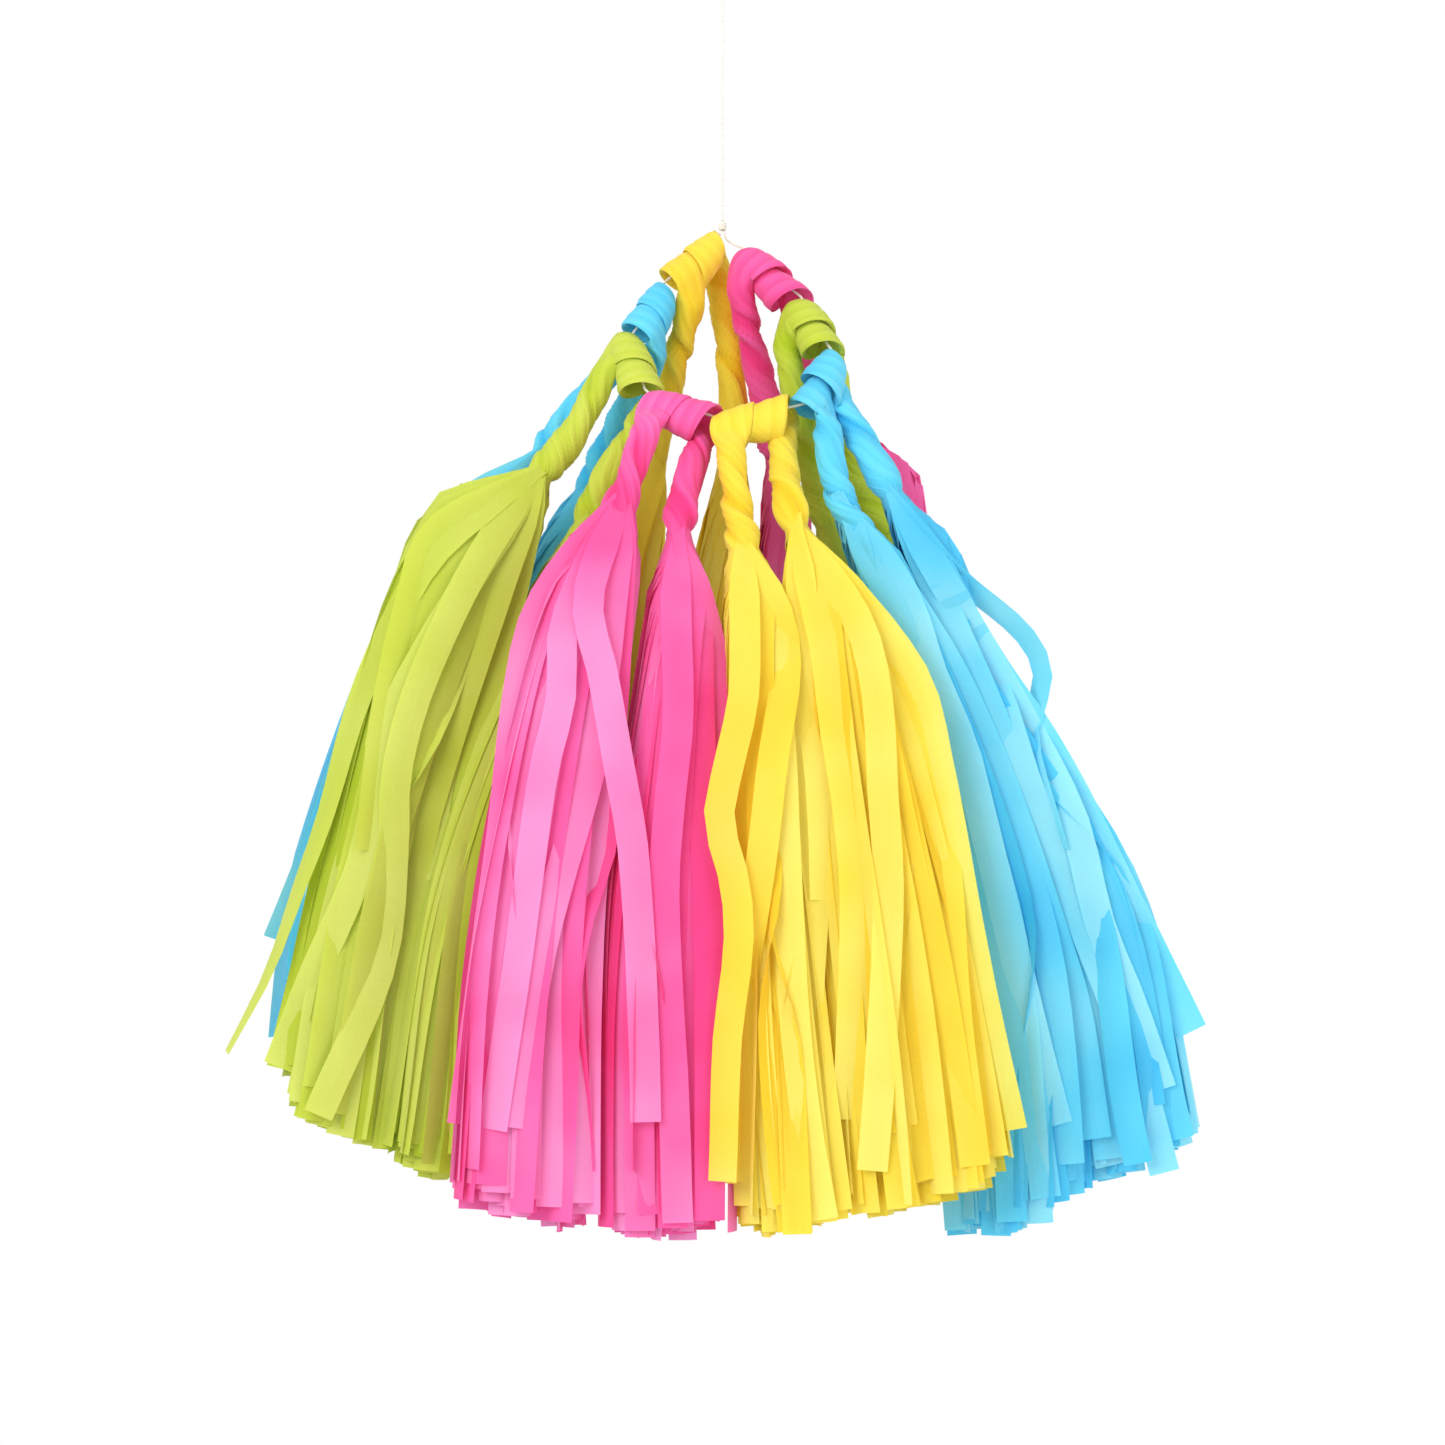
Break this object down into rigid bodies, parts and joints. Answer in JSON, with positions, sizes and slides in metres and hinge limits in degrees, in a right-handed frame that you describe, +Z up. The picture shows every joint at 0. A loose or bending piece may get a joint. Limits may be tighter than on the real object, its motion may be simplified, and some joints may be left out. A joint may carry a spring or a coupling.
{
  "type": "tassel garland",
  "caption": "Tissue-paper tassels with twisted heads threaded on a small loop of string, bunched and hung from a string with an eye.",
  "frame": {"origin": "the top of the inside of the hanging eye, where a hook or nail carries the garland", "axes": "+Z up along the taut string, -Y towards the viewer, +X to the viewer's right"},
  "size_m": [0.3926, 0.1369, 0.543],
  "materials": {
    "yellow_paper": "matte tissue paper",
    "blue_paper": "matte tissue paper",
    "green_paper": "matte tissue paper",
    "pink_paper": "matte tissue paper",
    "string": "thin natural cotton string"
  },
  "bodies": {
    "hanger": {"hanging_eye": "string", "eye_knot": "string"},
    "bunch": {"hanging_string": "string", "loop_knot": "string", "threaded_loop": "string"},
    "yellow_back": {"yellow_back_twist": "yellow_paper", "yellow_back_fringe_right": "yellow_paper", "yellow_back_fringe_left": "yellow_paper"},
    "blue_back": {"blue_back_twist": "blue_paper", "blue_back_fringe_outer": "blue_paper", "blue_back_fringe_inner": "blue_paper"},
    "green_left": {"green_left_twist": "green_paper", "green_left_fringe_outer": "green_paper", "green_left_fringe_inner": "green_paper"},
    "pink_front": {"pink_front_twist": "pink_paper", "pink_front_fringe_left": "pink_paper", "pink_front_fringe_right": "pink_paper"},
    "yellow_front": {"yellow_front_twist": "yellow_paper", "yellow_front_fringe_left": "yellow_paper", "yellow_front_fringe_right": "yellow_paper"},
    "blue_front": {"blue_front_twist": "blue_paper", "blue_front_fringe_left": "blue_paper", "blue_front_fringe_right": "blue_paper"},
    "green_right": {"green_right_twist": "green_paper", "green_right_fringe_outer": "green_paper", "green_right_fringe_inner": "green_paper"},
    "pink_back": {"pink_back_twist": "pink_paper", "pink_back_fringe_outer": "pink_paper", "pink_back_fringe_inner": "pink_paper"}
  },
  "joints": [
    {"name": "bunch_swivel", "type": "hinge", "parent": "hanger", "child": "bunch", "pos_m": [0, 0, -0.0182], "axis": [0, 0, 1], "continuous": true},
    {"name": "yellow_back_swing", "type": "hinge", "parent": "bunch", "child": "yellow_back", "pos_m": [-0.01298, -0.00825, -0.13352], "axis": [0.639, 0.4478, 0.6254], "range_deg": [0, 40]},
    {"name": "blue_back_swing", "type": "hinge", "parent": "bunch", "child": "blue_back", "pos_m": [-0.03073, -0.02385, -0.15531], "axis": [0.4166, 0.5292, 0.7391], "range_deg": [0, 40]},
    {"name": "green_left_swing", "type": "hinge", "parent": "bunch", "child": "green_left", "pos_m": [-0.03589, -0.04204, -0.18071], "axis": [-0.2307, 0.5665, 0.7911], "range_deg": [0, 40]},
    {"name": "pink_front_swing", "type": "hinge", "parent": "bunch", "child": "pink_front", "pos_m": [-0.01544, -0.05561, -0.19966], "axis": [-0.9125, 0.2381, 0.3326], "range_deg": [0, 40]},
    {"name": "yellow_front_swing", "type": "hinge", "parent": "bunch", "child": "yellow_front", "pos_m": [0.01616, -0.05731, -0.20203], "axis": [-0.9747, -0.1302, -0.1819], "range_deg": [0, 40]},
    {"name": "blue_front_swing", "type": "hinge", "parent": "bunch", "child": "blue_front", "pos_m": [0.04107, -0.04654, -0.187], "axis": [-0.3981, -0.5341, -0.7459], "range_deg": [0, 40]},
    {"name": "green_right_swing", "type": "hinge", "parent": "bunch", "child": "green_right", "pos_m": [0.03876, -0.02835, -0.16159], "axis": [0.3897, -0.5362, -0.7488], "range_deg": [0, 40]},
    {"name": "pink_back_swing", "type": "hinge", "parent": "bunch", "child": "pink_back", "pos_m": [0.02119, -0.01269, -0.13972], "axis": [0.6418, -0.4465, -0.6235], "range_deg": [0, 40]}
  ]
}
